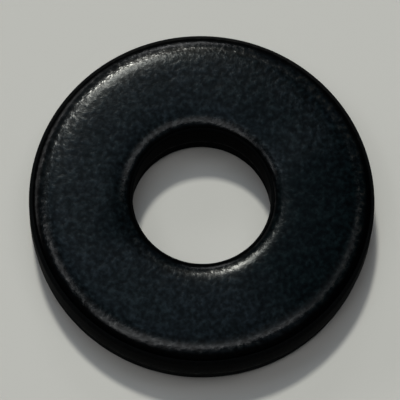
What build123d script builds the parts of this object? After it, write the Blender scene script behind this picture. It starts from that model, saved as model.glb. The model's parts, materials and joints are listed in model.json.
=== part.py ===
from build123d import *
import os

# Heavy flat washer for an M8 bolt: a ring stamped from thick steel strip and blackened.
# The press draws both upper edges down into rolled shoulders. Below them the punch and die
# shear each wall straight and smooth, and the last of the metal tears away at a slight angle.
# Lengths are in millimetres. +Z points up the bolt, and the origin is the centre of the
# underside, which lies on XY.

# The washer's nominal sizes
bore_diameter = 8.4
outside_diameter = 21.0
thickness = 4.0

# Rolled shoulders: width along the upper face and drop down the wall
rim_roll_width = 2.05
rim_roll_drop = 1.1
bore_roll_width = 1.65
bore_roll_drop = 0.6

# Shape of a shoulder: how far it keeps to the line of the face, and of the wall, as a share of
# its width and drop. 0.55 for both gives an ellipse, and more gives a squarer edge.
face_fullness = 0.9
wall_fullness = 0.6

# Sheared walls: the share of the height under a shoulder that comes out straight and smooth,
# and how far the torn metal below it draws back from the straight wall
sheared_share = 0.55
rim_tear_relief = 0.08
bore_tear_relief = 0.08

# Tumbling rounds both edges of the underside
foot_radius = 0.25

bore_radius = bore_diameter / 2
rim_radius = outside_diameter / 2

# Heights above the underside
rim_wall_height = thickness - rim_roll_drop
bore_wall_height = thickness - bore_roll_drop
rim_tear_height = rim_wall_height * (1 - sheared_share)
bore_tear_height = bore_wall_height * (1 - sheared_share)

with BuildPart() as washer:
    # Half of the ring's cross-section: x is the distance from the bolt's axis, y the height
    with BuildSketch(Plane.XZ):
        with BuildLine():
            underside = Line(
                (bore_radius + bore_tear_relief, 0),
                (rim_radius - rim_tear_relief, 0),
            )
            rim_tear = Line(underside @ 1, (rim_radius, rim_tear_height))
            rim_wall = Line(rim_tear @ 1, (rim_radius, rim_wall_height))
            bore_tear = Line(underside @ 0, (bore_radius, bore_tear_height))
            bore_wall = Line(bore_tear @ 1, (bore_radius, bore_wall_height))
            upper_face = Line(
                (bore_radius + bore_roll_width, thickness),
                (rim_radius - rim_roll_width, thickness),
            )
            # Each shoulder leaves the face and meets the wall without a corner
            Bezier(
                upper_face @ 1,
                upper_face @ 1 + (upper_face % 1) * (rim_roll_width * face_fullness),
                rim_wall @ 1 + (rim_wall % 1) * (rim_roll_drop * wall_fullness),
                rim_wall @ 1,
            )
            Bezier(
                upper_face @ 0,
                upper_face @ 0 - (upper_face % 0) * (bore_roll_width * face_fullness),
                bore_wall @ 1 + (bore_wall % 1) * (bore_roll_drop * wall_fullness),
                bore_wall @ 1,
            )
        make_face()
    revolve(axis=Axis.Z)

    # The underside is the lowest face, and its two circles are the washer's foot edges
    foot_edges = washer.faces().sort_by(Axis.Z)[0].edges()
    fillet(foot_edges, radius=foot_radius)

washer.part.label = "washer"

os.makedirs("parts", exist_ok=True)
export_step(washer.part, "parts/washer.step")
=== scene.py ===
import json
import math
import random

import bpy
import numpy as np
from mathutils import Matrix, Vector, noise


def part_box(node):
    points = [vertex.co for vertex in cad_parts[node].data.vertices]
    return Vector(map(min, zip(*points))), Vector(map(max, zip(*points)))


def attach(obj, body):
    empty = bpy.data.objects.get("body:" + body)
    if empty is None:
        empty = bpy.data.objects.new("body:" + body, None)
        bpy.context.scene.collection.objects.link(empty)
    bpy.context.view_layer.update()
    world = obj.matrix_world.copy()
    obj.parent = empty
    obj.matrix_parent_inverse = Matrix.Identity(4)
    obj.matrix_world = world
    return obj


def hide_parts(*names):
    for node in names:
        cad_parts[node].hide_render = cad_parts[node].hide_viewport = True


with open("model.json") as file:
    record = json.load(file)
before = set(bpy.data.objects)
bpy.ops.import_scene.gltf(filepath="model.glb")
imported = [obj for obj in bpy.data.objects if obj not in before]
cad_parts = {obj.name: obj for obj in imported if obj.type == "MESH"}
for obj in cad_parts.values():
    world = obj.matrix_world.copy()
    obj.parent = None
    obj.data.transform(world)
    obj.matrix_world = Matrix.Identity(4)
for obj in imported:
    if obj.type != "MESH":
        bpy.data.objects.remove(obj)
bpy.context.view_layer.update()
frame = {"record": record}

# A heavy flat washer: tumbled and blackened steel, lying on a pale floor in a studio.
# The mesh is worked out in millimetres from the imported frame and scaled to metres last.

MM = 0.001

# ---------------------------------------------------------------------------
# Sizes of the washer, in millimetres
# ---------------------------------------------------------------------------

NODE = "washer"
_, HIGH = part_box(NODE)
RIM_R = min(HIGH.x, HIGH.y) / MM
THICKNESS = HIGH.z / MM

BORE = next(m for m in frame["record"]["mounts"] if m["name"] == "bore")
BORE_R = BORE["dims"]["r_mm"]
BORE_MIDDLE = BORE["pos_m"][2] / MM
BORE_WALL_TOP = BORE_MIDDLE + BORE["dims"]["length_mm"] / 2
BORE_TEAR_TOP = BORE_MIDDLE - BORE["dims"]["length_mm"] / 2

# The rolled shoulders, as in the CAD model
RIM_ROLL_WIDTH = 2.05
RIM_ROLL_DROP = 1.1
BORE_ROLL_WIDTH = 1.65
FACE_FULLNESS = 0.9
WALL_FULLNESS = 0.6

RIM_WALL_TOP = THICKNESS - RIM_ROLL_DROP
TORN_SHARE = 0.45
RIM_TEAR_TOP = TORN_SHARE * RIM_WALL_TOP
TEAR_RELIEF = 0.08
FOOT_RADIUS = 0.25

# ---------------------------------------------------------------------------
# Mesh density and surface unevenness, in millimetres
# ---------------------------------------------------------------------------

SEGMENTS = 704
FACE_STEP = 0.12
SHOULDER_STEP = 0.095
# How much longer a shoulder's curve is than the straight line between its ends
SHOULDER_BULGE = 1.15
WALL_STEP = 0.13
UNDERSIDE_STEP = 0.8
FOOT_STEPS = 4

# Slopes are in degrees, 0 on the upper face and 90 on a wall.
# Bands of slope on which the surface changes: begins, full from, full to, ends
SLOPE_BANDS = {
    "worn": (4.4, 11.0, 17.0, 26.0),
    "worn_bore": (2.0, 9.0, 17.0, 26.0),
    "rubbed": (7.0, 14.0, 24.0, 34.0),
    "polished": (12.0, 24.0, 33.0, 42.0),
}
# Steep marks the steep part of the shoulders, which the face material darkens with painted shade
# Begins, full from
STEEP_FROM = (13.0, 26.0)
TURNING_FROM = (1.0, 25.0)
# Full to, ends
UPPER_TO = (60.0, 88.0)
# Faces that slope more than this have the material of the walls
WALL_SLOPE = 48.0

# Wear as a share of that at the back of the rim, and where it changes towards the front (-y)
BORE_WEAR = 0.45
FRONT_WEAR = 0.6
FRONT_OF_RIM = (-1.0, 7.0)
# Heights over which painted shade darkens the walls, from none at the lower height to full at the
# upper, under the shoulders
UPPER_WALL_SHADE_HEIGHTS = (1.0, 2.6)

# The flat of the face falls away by CROWN at its edges, and goes on to CROWN_REACH half widths
CROWN = 0.012
CROWN_REACH = 1.2

# Unevenness: depth, size of its features, and a shift that tells the patterns apart
FACE_SWELL = (0.012, 5.0, 3.0)
SHOULDER_SWELL = (0.017, 3.4, 19.7)
TUMBLE = (0.003, 0.5, 13.0)
SCORES = (0.006, 0.16, 17.0)
TEAR_GRAIN = (0.06, 0.32, 23.0)
TEAR_LINE_WANDER = (0.36, 1.3, 31.0)
SHADE_PATCH_RAGGEDNESS = (2.5, 2.2, 41.0)
# Heights are multiplied by these first, which draws the features out along the walls
SCORES_SQUEEZE = 0.06
TEAR_LINE_SQUEEZE = 0.05
TEAR_LINE_BLUR = 0.06
# Rounds of blurring where one zone of the outline meets the next
ZONE_BLUR = 2

# Patches of painted shade on the face, where the colour is darker and the coat thinner: middle,
# full within, none beyond, strength
SHADE_PATCHES = (
    ((8.0, -1.8), 3.0, 7.2, 1.0),
    ((-4.7, -1.7), 0.8, 3.0, 0.7),
    ((3.7, 5.2), 0.8, 3.6, 0.5),
)

DENT_COUNT = 26
DENT_RADII = (0.18, 0.5)
DENT_DEPTHS = (0.002, 0.006)
DENT_SEED = 11

# The masks that the materials read from the mesh
ATTRIBUTES = (
    "worn", "rubbed", "steep", "polished", "dull", "sheared", "torn", "bore", "smoked",
)


# ---------------------------------------------------------------------------
# Cross-section
# ---------------------------------------------------------------------------

def line(start, end, step):
    """Evenly spaced points from start up to, but not including, end."""
    count = max(1, round(math.dist(start, end) / step))
    return [tuple(a + (b - a) * i / count for a, b in zip(start, end)) for i in range(count)]


def shoulder(face_end, wall_end):
    """A rolled shoulder from the face down to the wall, leaving both without a corner."""
    (face_r, face_z), (wall_r, wall_z) = face_end, wall_end
    near_face = (face_r + (wall_r - face_r) * FACE_FULLNESS, face_z)
    near_wall = (wall_r, wall_z + (face_z - wall_z) * WALL_FULLNESS)
    count = round(SHOULDER_BULGE * math.dist(face_end, wall_end) / SHOULDER_STEP)
    points = []
    for i in range(count):
        t = i / count
        weights = ((1 - t) ** 3, 3 * t * (1 - t) ** 2, 3 * t * t * (1 - t), t ** 3)
        corners = (face_end, near_face, near_wall, wall_end)
        points.append(tuple(sum(w * c[k] for w, c in zip(weights, corners)) for k in (0, 1)))
    return points


def foot(centre_r, outward):
    """A quarter round from the torn wall in to the underside.

    Outward is 1 at the rim and -1 at the bore.
    """
    turns = [math.pi / 2 * i / FOOT_STEPS for i in range(FOOT_STEPS)]
    return [
        (
            centre_r + outward * FOOT_RADIUS * math.cos(turn),
            FOOT_RADIUS * (1 - math.sin(turn)),
        )
        for turn in turns
    ]


def half_of_section(radius, outward, roll_width, wall_top, tear_top):
    """Points and zones from the edge of the upper face, over the shoulder, to the underside."""
    face_end = (radius - outward * roll_width, THICKNESS)
    tear_foot = (radius - outward * TEAR_RELIEF, FOOT_RADIUS)
    zones = (
        ("rolled", shoulder(face_end, (radius, wall_top))),
        ("sheared", line((radius, wall_top), (radius, tear_top), WALL_STEP)),
        ("torn", line((radius, tear_top), tear_foot, WALL_STEP)),
        ("foot", foot(tear_foot[0] - outward * FOOT_RADIUS, outward)),
    )
    return [(r, z, zone) for zone, points in zones for r, z in points]


def cross_section():
    """The closed outline as (r, z, zone), clockwise from the inner edge of the flat face."""
    rim = half_of_section(RIM_R, 1, RIM_ROLL_WIDTH, RIM_WALL_TOP, RIM_TEAR_TOP)
    bore = half_of_section(BORE_R, -1, BORE_ROLL_WIDTH, BORE_WALL_TOP, BORE_TEAR_TOP)
    face = line(bore[0][:2], rim[0][:2], FACE_STEP)
    rim_edge = (RIM_R - TEAR_RELIEF - FOOT_RADIUS, 0.0)
    bore_edge = (BORE_R + TEAR_RELIEF + FOOT_RADIUS, 0.0)
    underside = line(rim_edge, bore_edge, UNDERSIDE_STEP)
    outline = [(r, z, "face") for r, z in face] + rim
    outline += [(r, z, "underside") for r, z in underside]
    outline += [(*bore_edge, "underside")] + bore[:0:-1]
    return outline


def outward_normals(section):
    """The unit normal of the outline at each point, as (r, z)."""
    points = np.array([(r, z) for r, z, _ in section])
    along = np.roll(points, -1, 0) - np.roll(points, 1, 0)
    normals = np.stack([-along[:, 1], along[:, 0]], 1)
    return normals / np.linalg.norm(normals, axis=1, keepdims=True)


# ---------------------------------------------------------------------------
# Surface unevenness
# ---------------------------------------------------------------------------

def noise_at(places, size, shift):
    """Smooth noise from 0 to 1 with features of the given size, at each place."""
    offset = Vector((shift, 2.3 * shift, -1.7 * shift))
    values = [noise.noise(Vector(p) / size + offset) for p in places.tolist()]
    return np.clip(0.5 + 0.5 * np.array(values), 0, 1)


def uneven(places, pattern):
    """The depth of a pattern at each place."""
    depth, size, shift = pattern
    return depth * noise_at(places, size, shift)


def soft_step(values, low, high):
    """0 up to low and 1 from high, with a smooth rise between them."""
    t = np.clip((values - low) / (high - low), 0, 1)
    return t * t * (3 - 2 * t)


def fade_out(values, full_to, ends):
    """1 up to full_to and 0 from ends, with a smooth fall between them."""
    return soft_step(-values, -ends, -full_to)


def band(values, begins, full_from, full_to, ends):
    """1 between the middle two values and 0 beyond the outer two."""
    return soft_step(values, begins, full_from) * fade_out(values, full_to, ends)


def softened(mask, rounds):
    """A zone's mask along the outline, blurred so that it fades into the next zone."""
    for _ in range(rounds):
        mask = (np.roll(mask, 1) + 2 * mask + np.roll(mask, -1)) / 4
    return mask


def dents(places, open_to_knocks):
    """Shallow round knocks from tumbling, as depth at each place."""
    pick = random.Random(DENT_SEED)
    depth = np.zeros(len(places))
    candidates = np.flatnonzero(open_to_knocks)
    for _ in range(DENT_COUNT):
        centre = places[candidates[pick.randrange(len(candidates))]]
        radius = pick.uniform(*DENT_RADII)
        deepest = pick.uniform(*DENT_DEPTHS)
        distance = np.linalg.norm(places - centre, axis=1)
        depth = np.maximum(depth, deepest * fade_out(distance, 0, radius))
    return depth


def shade_patches(places):
    """How much painted shade, with less coat, each place has, from 0 to 1."""
    reach, size, shift = SHADE_PATCH_RAGGEDNESS
    ragged = reach * (noise_at(places, size, shift) - 0.5)
    dull = np.zeros(len(places))
    for middle, full, none, strength in SHADE_PATCHES:
        distance = np.linalg.norm(places[:, :2] - middle, axis=1) + ragged
        dull = np.maximum(dull, strength * fade_out(distance, full, none))
    return dull


def crown(places):
    """How far the face falls away towards its edges, at each place."""
    inner, outer = BORE_R + BORE_ROLL_WIDTH, RIM_R - RIM_ROLL_WIDTH
    off_middle = (2 * np.hypot(places[:, 0], places[:, 1]) - inner - outer) / (outer - inner)
    return CROWN * np.clip(np.abs(off_middle), 0, CROWN_REACH) ** 2


def unevenness(places, zones):
    """How far each vertex lies inside the ideal surface, in millimetres."""
    on_top = zones["upper"]
    depth = uneven(places, FACE_SWELL) * on_top
    depth += crown(places) * on_top
    depth += uneven(places, SHOULDER_SWELL) * zones["turning"]
    depth += uneven(places, TUMBLE) * on_top
    depth += uneven(places * (1.0, 1.0, SCORES_SQUEEZE), SCORES) * zones["sheared"]
    depth += uneven(places, TEAR_GRAIN) * zones["torn"]
    depth += dents(places, on_top > 0.5) * on_top
    return depth


# ---------------------------------------------------------------------------
# The washer's mesh
# ---------------------------------------------------------------------------

def turned(outline):
    """Each (r, z) of the outline at every segment around the axis, as (x, y, z)."""
    turns = np.arange(SEGMENTS) * 2 * math.pi / SEGMENTS
    cos, sin = np.cos(turns)[:, None], np.sin(turns)[:, None]
    height = np.broadcast_to(outline[:, 1], (SEGMENTS, len(outline)))
    return np.stack([cos * outline[:, 0], sin * outline[:, 0], height], -1).reshape(-1, 3)


def outline_zones(section, slopes):
    """Masks from 0 to 1 along the outline, repeated for every segment."""
    zones = {name: band(slopes, *edges) for name, edges in SLOPE_BANDS.items()}
    zones["steep"] = soft_step(slopes, *STEEP_FROM)
    zones["upper"] = fade_out(slopes, *UPPER_TO)
    zones["turning"] = zones["upper"] * soft_step(slopes, *TURNING_FROM)
    for kind in ("sheared", "torn"):
        mask = np.array([float(zone == kind) for _, _, zone in section])
        zones[kind] = softened(mask, ZONE_BLUR)
    return {name: np.tile(mask, SEGMENTS) for name, mask in zones.items()}


def split_walls(places, zones, outward):
    """Masks of the sheared and the torn metal, which meet at a ragged line."""
    height, size, shift = TEAR_LINE_WANDER
    wander = noise_at(places * (1, 1, TEAR_LINE_SQUEEZE), size, shift) - 0.5
    tear_top = np.where(outward > 0, RIM_TEAR_TOP, BORE_TEAR_TOP)
    below = tear_top + height * wander - places[:, 2]
    walls = zones["sheared"] + zones["torn"]
    torn = soft_step(below, -TEAR_LINE_BLUR, TEAR_LINE_BLUR) * walls
    return walls - torn, torn


def wear(places, zones, outward):
    """How worn the oxide is at each place: less at the bore and at the front of the rim."""
    front = soft_step(-places[:, 1], *FRONT_OF_RIM)
    rim_wear = 1 + (FRONT_WEAR - 1) * front
    return np.where(outward < 0, BORE_WEAR * zones["worn_bore"], rim_wear * zones["worn"])


def ring_faces(rows):
    """Quads between neighbouring segments, each with rows points around the outline."""
    faces = []
    for i in range(SEGMENTS):
        here, there = i * rows, (i + 1) % SEGMENTS * rows
        for j in range(rows):
            k = (j + 1) % rows
            faces.append((here + j, here + k, there + k, there + j))
    return faces


def washer_mesh():
    """The ring, with its masks as attributes and a second material on the walls."""
    section = cross_section()
    normals = outward_normals(section)
    slopes = np.degrees(np.arccos(np.clip(normals[:, 1], -1, 1)))
    places = turned(np.array([(r, z) for r, z, _ in section]))
    directions = turned(normals)
    outward = directions[:, 0] * places[:, 0] + directions[:, 1] * places[:, 1]

    zones = outline_zones(section, slopes)
    zones["sheared"], zones["torn"] = split_walls(places, zones, outward)
    zones["dull"] = shade_patches(places)
    zones["bore"] = (outward < 0).astype(float)
    zones["worn"] = wear(places, zones, outward)
    zones["smoked"] = soft_step(places[:, 2], *UPPER_WALL_SHADE_HEIGHTS)

    places = places - directions * unevenness(places, zones)[:, None]
    places[:, 2] = np.maximum(places[:, 2], 0)

    mesh = bpy.data.meshes.new("blackened_ring")
    mesh.from_pydata((places * MM).tolist(), [], ring_faces(len(section)))
    materials = [int(slope > WALL_SLOPE) for slope in slopes]
    mesh.polygons.foreach_set("material_index", materials * SEGMENTS)
    for name in ATTRIBUTES:
        layer = mesh.attributes.new(name, "FLOAT", "POINT")
        layer.data.foreach_set("value", zones[name].astype(np.float32))
    mesh.polygons.foreach_set("use_smooth", [True] * len(mesh.polygons))
    mesh.update()
    return mesh


# ---------------------------------------------------------------------------
# Materials
# ---------------------------------------------------------------------------

class Nodes:
    """A material's node tree, with short calls for the nodes used here."""

    def __init__(self, name):
        self.material = bpy.data.materials.new(name)
        self.material.use_nodes = True
        self.tree = self.material.node_tree
        self.shader = self.tree.nodes["Principled BSDF"]
        self.place = self.add("ShaderNodeTexCoord").outputs["Object"]

    def add(self, kind, **settings):
        node = self.tree.nodes.new(kind)
        for key, value in settings.items():
            setattr(node, key, value)
        return node

    def join(self, source, socket):
        self.tree.links.new(source, socket)

    def attribute(self, name):
        return self.add("ShaderNodeAttribute", attribute_name=name).outputs["Fac"]

    def noise(self, size_mm, detail=2.0, place=None, roughness=0.5):
        node = self.add("ShaderNodeTexNoise")
        node.inputs["Scale"].default_value = 1 / (size_mm * MM)
        node.inputs["Detail"].default_value = detail
        node.inputs["Roughness"].default_value = roughness
        self.join(place or self.place, node.inputs["Vector"])
        return node.outputs["Fac"]

    def stretched(self, factors):
        node = self.add("ShaderNodeVectorMath", operation="MULTIPLY")
        self.join(self.place, node.inputs[0])
        node.inputs[1].default_value = factors
        return node.outputs["Vector"]

    def span(self, source, low, high, to_low=0.0, to_high=1.0, kind="SMOOTHSTEP"):
        """Maps source from low..high to to_low..to_high and holds it there outside that range."""
        node = self.add("ShaderNodeMapRange", interpolation_type=kind)
        self.join(source, node.inputs["Value"])
        for socket, value in zip(
            ("From Min", "From Max", "To Min", "To Max"), (low, high, to_low, to_high)
        ):
            node.inputs[socket].default_value = value
        return node.outputs["Result"]

    def math(self, operation, a, b):
        node = self.add("ShaderNodeMath", operation=operation)
        for socket, value in zip(node.inputs, (a, b)):
            if isinstance(value, (int, float)):
                socket.default_value = value
            else:
                self.join(value, socket)
        return node.outputs["Value"]

    def blend(self, factor, first, second):
        """Mixes two colours, each an (r, g, b) or a node's output."""
        node = self.add("ShaderNodeMix", data_type="RGBA")
        self.join(factor, node.inputs["Factor"])
        for socket, value in zip((node.inputs[6], node.inputs[7]), (first, second)):
            if isinstance(value, tuple):
                socket.default_value = (*value, 1)
            else:
                self.join(value, socket)
        return node.outputs[2]

    def bump(self, height, depth_mm, before=None):
        node = self.add("ShaderNodeBump")
        node.inputs["Distance"].default_value = depth_mm * MM
        self.join(height, node.inputs["Height"])
        if before:
            self.join(before, node.inputs["Normal"])
        return node.outputs["Normal"]


# Colours of the upper face, and of the walls and the underside
FACE_BLUE = (0.0039, 0.0074, 0.0107)
FACE_GREEN = (0.0039, 0.0078, 0.0102)
# Painted shade for the patches of the face
FACE_SHADE_TEAL = (0.0021, 0.0053, 0.0062)
FACE_BROWN = (0.0092, 0.0092, 0.0084)
FACE_PIT = (0.0005, 0.0009, 0.0013)
# Painted shade for the steep part of the shoulders
FACE_PAINTED_SHADE = (0.0002, 0.0003, 0.0004)
WALL_BLUE = (0.0200, 0.0222, 0.0234)
WALL_BROWN = (0.0190, 0.0178, 0.0162)
# A painted highlight along the line where the sheared wall meets the torn metal
WALL_PAINTED_HIGHLIGHT = (0.0560, 0.0550, 0.0530)
# The wall's darkest tone, of its grain and torn metal, and also the painted shade in the bore and
# towards the tops of the walls
WALL_DARK_AND_SHADE = (0.0020, 0.0023, 0.0026)
PAPER = (0.495, 0.492, 0.478)

# Shine of the oxide: from unworn to worn, added where it is polished, left in the patches of
# painted shade, and from the pits to the tops of its grain
COAT_OF_WEAR = (0.045, 0.45)
COAT_OF_POLISH = 0.3
COAT_LEFT_IN_SHADE_PATCH = 0.25
COAT_OF_GRAIN = (0.6, 1.75)

# Sizes of the textures and depths of the bumps, in millimetres
CLOUD_SIZE = 1.6
GRAIN_SIZE = 0.3
SPECK_SIZE = 0.07
WALL_GRAIN_SIZE = 0.15
SCORE_SIZE = 0.09
GRAIN_DEPTH = 0.007
SPECK_DEPTH = 0.0033
WALL_GRAIN_DEPTH = 0.01
SCORE_DEPTH = 0.004


def black_oxide():
    """The upper face and its shoulders: blue-black oxide, rubbed where the face turns down, with
    painted shade on the steep part of the shoulders and in patches of the face.
    """
    n = Nodes("black_oxide")
    worn, rubbed, steep, polished, dull = (
        n.attribute(a) for a in ("worn", "rubbed", "steep", "polished", "dull")
    )
    cloud = n.noise(CLOUD_SIZE, 3.0)
    grain = n.span(n.noise(GRAIN_SIZE, 2.5, roughness=0.55), 0.28, 0.72, kind="LINEAR")
    grain = n.math("POWER", grain, 1.7)
    speck = n.noise(SPECK_SIZE, 2.0)

    colour = n.blend(n.span(cloud, 0.4, 0.6), FACE_BLUE, FACE_GREEN)
    # Painted shade: patches of the face turn to a darker teal
    colour = n.blend(n.math("MULTIPLY", dull, 0.85), colour, FACE_SHADE_TEAL)
    browned = n.math("MULTIPLY", n.span(grain, 0.35, 0.8), worn)
    colour = n.blend(browned, colour, FACE_BROWN)
    colour = n.blend(grain, FACE_PIT, colour)
    # Painted shade: the steep part of the shoulders is darkened to near black
    colour = n.blend(steep, colour, FACE_PAINTED_SHADE)
    n.join(colour, n.shader.inputs["Base Color"])
    n.join(n.span(grain, 0.3, 1.0, 0.16, 0.22), n.shader.inputs["Roughness"])

    n.shader.inputs["Specular IOR Level"].default_value = 0.008
    n.shader.inputs["Specular Tint"].default_value = (0.74, 0.90, 1.0, 1.0)
    n.shader.inputs["Coat Roughness"].default_value = 0.18
    shine = n.span(worn, 0.0, 1.0, *COAT_OF_WEAR)
    coat = n.math("ADD", shine, n.math("MULTIPLY", polished, COAT_OF_POLISH))
    # Less coat in the patches of painted shade, which dims their sheen
    coat = n.math("MULTIPLY", coat, n.span(dull, 0.0, 1.0, 1.0, COAT_LEFT_IN_SHADE_PATCH))
    coat = n.math("MULTIPLY", coat, n.span(grain, 0.0, 1.0, *COAT_OF_GRAIN, kind="LINEAR"))
    n.join(coat, n.shader.inputs["Coat Weight"])

    grains = n.math("MULTIPLY", grain, n.span(worn, 0.0, 1.0, 0.5, 1.0))
    specks = n.math("MULTIPLY", speck, n.span(rubbed, 0.0, 1.0, 0.25, 1.0))
    fine = n.bump(grains, GRAIN_DEPTH)
    fine = n.bump(specks, SPECK_DEPTH, fine)
    n.join(fine, n.shader.inputs["Normal"])
    n.join(fine, n.shader.inputs["Coat Normal"])
    return n.material


def stamped_wall():
    """The sheared and torn walls and the underside: the same oxide, matt and unrubbed, with
    painted shade in the bore and towards the tops of the walls, and a painted highlight along the
    tear line.
    """
    n = Nodes("stamped_wall")
    sheared, torn, bore, smoked = (
        n.attribute(a) for a in ("sheared", "torn", "bore", "smoked")
    )
    grain = n.noise(WALL_GRAIN_SIZE, 3.0)
    scores = n.noise(SCORE_SIZE, 2.0, n.stretched((1.0, 1.0, 0.05)))

    colour = n.blend(n.span(grain, 0.35, 0.65, 0.3, 1.0), WALL_DARK_AND_SHADE, WALL_BLUE)
    scored = n.math("MULTIPLY", n.span(scores, 0.45, 0.65), sheared)
    colour = n.blend(scored, colour, WALL_BROWN)
    colour = n.blend(n.span(torn, 0.3, 1.0, 0.0, 0.35), colour, WALL_DARK_AND_SHADE)
    # Painted shade: the bore's walls are darkened
    colour = n.blend(n.math("MULTIPLY", bore, 0.6), colour, WALL_DARK_AND_SHADE)
    # Painted shade: the walls are darkened towards their tops, under the shoulders
    colour = n.blend(n.math("MULTIPLY", smoked, 0.85), colour, WALL_DARK_AND_SHADE)
    # Painted highlight: a lighter line along the tear line, broken up by the grain
    # Both masks are half where they meet, so four times their product is 1 on the line
    painted_highlight_line = n.math("MULTIPLY", n.math("MULTIPLY", torn, sheared), 4.0)
    painted_highlight = n.math("MULTIPLY", painted_highlight_line, n.span(grain, 0.3, 0.6))
    colour = n.blend(painted_highlight, colour, WALL_PAINTED_HIGHLIGHT)
    n.join(colour, n.shader.inputs["Base Color"])
    n.join(n.span(torn, 0.0, 1.0, 0.42, 0.6), n.shader.inputs["Roughness"])
    n.shader.inputs["Specular IOR Level"].default_value = 0.001

    rough_ground = n.bump(grain, WALL_GRAIN_DEPTH)
    fine = n.bump(n.math("MULTIPLY", scores, sheared), SCORE_DEPTH, rough_ground)
    n.join(fine, n.shader.inputs["Normal"])
    return n.material


def paper_white():
    """The floor: plain, pale and matt."""
    n = Nodes("paper_white")
    n.shader.inputs["Base Color"].default_value = (*PAPER, 1)
    n.shader.inputs["Roughness"].default_value = 0.9
    n.shader.inputs["Specular IOR Level"].default_value = 0.1
    return n.material


# ---------------------------------------------------------------------------
# Studio
# ---------------------------------------------------------------------------

# In metres
FLOOR_SIZE = 6.0
FLOOR_DROP = 0.00001

WHITE = (1.0, 1.0, 1.0)
WARM_WHITE = (1.0, 0.985, 0.885)
SKY_BLUE = (0.66, 0.85, 1.0)


def floor():
    """A large plain sheet, a hair below the washer's underside."""
    half = FLOOR_SIZE / 2
    signs = ((-1, -1), (1, -1), (1, 1), (-1, 1))
    corners = [(x * half, y * half, -FLOOR_DROP) for x, y in signs]
    mesh = bpy.data.meshes.new("floor")
    mesh.from_pydata(corners, [], [(0, 1, 2, 3)])
    mesh.materials.append(paper_white())
    ob = bpy.data.objects.new("floor", mesh)
    bpy.context.scene.collection.objects.link(ob)


def lamp(name, towards, distance, size, power, colour, shape="ELLIPSE"):
    """A lamp of the given width and depth, in metres, that shines on the washer."""
    light = bpy.data.lights.new(name, "AREA")
    light.shape = shape
    light.size, light.size_y = size
    light.energy = power
    light.color = colour
    ob = bpy.data.objects.new(name, light)
    direction = Vector(towards).normalized()
    ob.location = direction * distance
    ob.rotation_mode = "QUATERNION"
    ob.rotation_quaternion = direction.to_track_quat("Z", "Y")
    bpy.context.scene.collection.objects.link(ob)


def lamps():
    """A warm key from behind, a strip overhead, two cards at the left and a window behind."""
    lamp(
        "key", towards=(-0.14, 0.53, 1.0), distance=1.5, size=(0.15, 0.15),
        power=13.9, colour=WARM_WHITE,
    )
    lamp(
        "overhead_strip", towards=(0.03, -0.045, 1.0), distance=1.2, size=(1.30, 0.28),
        power=3.75, colour=WHITE, shape="RECTANGLE",
    )
    lamp(
        "left_panel", towards=(-0.49, 0.05, 1.0), distance=1.3, size=(0.28, 0.28),
        power=0.65, colour=WHITE,
    )
    lamp(
        "left_card", towards=(-0.12, 0.35, 1.0), distance=1.5, size=(0.47, 0.72),
        power=2.7, colour=SKY_BLUE,
    )
    lamp(
        "back_window", towards=(-0.12, 0.80, 0.60), distance=1.5, size=(0.45, 0.22),
        power=1.2, colour=WHITE,
    )


ROOM_LEVEL = 0.025
WINDOW_LEVEL = 1.9
BACKDROP = (0.47, 0.475, 0.445)
WINDOW_TOWARDS = (-0.85, 0.53, 0.0)
# Along the direction of a ray: how much it faces the window, and how high it points
WINDOW_SIDES = (0.72, 0.82)
WINDOW_HEIGHTS = (0.38, 0.46, 0.58, 0.65)


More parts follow.
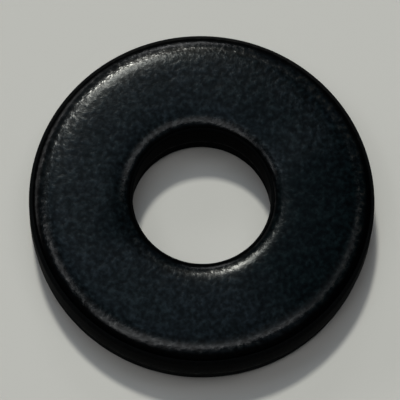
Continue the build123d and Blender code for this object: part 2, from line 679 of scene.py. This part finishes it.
def dim_room():
    """Dim light from all round, with a broad low window behind the washer at the left."""
    world = bpy.data.worlds.new("dim_room")
    world.use_nodes = True
    tree = world.node_tree

    def add(kind, operation, *sources):
        node = tree.nodes.new(kind)
        node.operation = operation
        for socket, source in zip(node.inputs, sources):
            if isinstance(source, bpy.types.NodeSocket):
                tree.links.new(source, socket)
            else:
                socket.default_value = source
        return node

    def ramp(source, low, high):
        node = tree.nodes.new("ShaderNodeMapRange")
        node.interpolation_type = "SMOOTHSTEP"
        node.inputs["From Min"].default_value = low
        node.inputs["From Max"].default_value = high
        tree.links.new(source, node.inputs["Value"])
        return node.outputs["Result"]

    direction = tree.nodes.new("ShaderNodeTexCoord").outputs["Generated"]
    split = tree.nodes.new("ShaderNodeSeparateXYZ")
    tree.links.new(direction, split.inputs[0])
    facing = add("ShaderNodeVectorMath", "DOT_PRODUCT", direction, WINDOW_TOWARDS)
    sides = ramp(facing.outputs["Value"], *WINDOW_SIDES)
    low, low_full, high_full, high = WINDOW_HEIGHTS
    height = split.outputs["Z"]
    sill, head = ramp(height, low, low_full), ramp(height, high, high_full)
    window = add("ShaderNodeMath", "MULTIPLY", sill, head).outputs[0]
    window = add("ShaderNodeMath", "MULTIPLY", window, sides).outputs[0]
    level = add("ShaderNodeMath", "MULTIPLY_ADD", window, WINDOW_LEVEL, ROOM_LEVEL).outputs[0]
    room = tree.nodes["Background"]
    room.inputs["Color"].default_value = (1, 1, 1, 1)
    tree.links.new(level, room.inputs["Strength"])

    backdrop = tree.nodes.new("ShaderNodeBackground")
    backdrop.inputs["Color"].default_value = (*BACKDROP, 1)
    seen = tree.nodes.new("ShaderNodeMixShader")
    path = tree.nodes.new("ShaderNodeLightPath")
    tree.links.new(path.outputs["Is Camera Ray"], seen.inputs[0])
    tree.links.new(room.outputs[0], seen.inputs[1])
    tree.links.new(backdrop.outputs[0], seen.inputs[2])
    tree.links.new(seen.outputs[0], tree.nodes["World Output"].inputs["Surface"])
    bpy.context.scene.world = world


# ---------------------------------------------------------------------------
# Camera
# ---------------------------------------------------------------------------

# Places and the lens in millimetres, turns in degrees
CAMERA_AT = (-0.11, -78.0, 250.3)
CAMERA_TILT = 17.5
CAMERA_ROLL = 4.0
CAMERA_LENS = 384.5


def camera():
    """A long lens above the washer, tilted towards its front."""
    data = bpy.data.cameras.new("camera")
    data.lens = CAMERA_LENS
    data.clip_start = 0.01
    data.clip_end = 10.0
    ob = bpy.data.objects.new("camera", data)
    turn = Matrix.Rotation(math.radians(CAMERA_TILT), 4, "X")
    turn = turn @ Matrix.Rotation(math.radians(CAMERA_ROLL), 4, "Z")
    ob.matrix_world = Matrix.Translation(Vector(CAMERA_AT) * MM) @ turn
    bpy.context.scene.collection.objects.link(ob)
    bpy.context.scene.camera = ob


# ---------------------------------------------------------------------------
# Putting it together
# ---------------------------------------------------------------------------

camera()
floor()
lamps()
dim_room()

ring = bpy.data.objects.new("blackened_ring", washer_mesh())
bpy.context.scene.collection.objects.link(ring)
ring.data.materials.append(black_oxide())
ring.data.materials.append(stamped_wall())
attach(ring, "root")
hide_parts(NODE)

bpy.context.scene.view_settings.view_transform = "Standard"
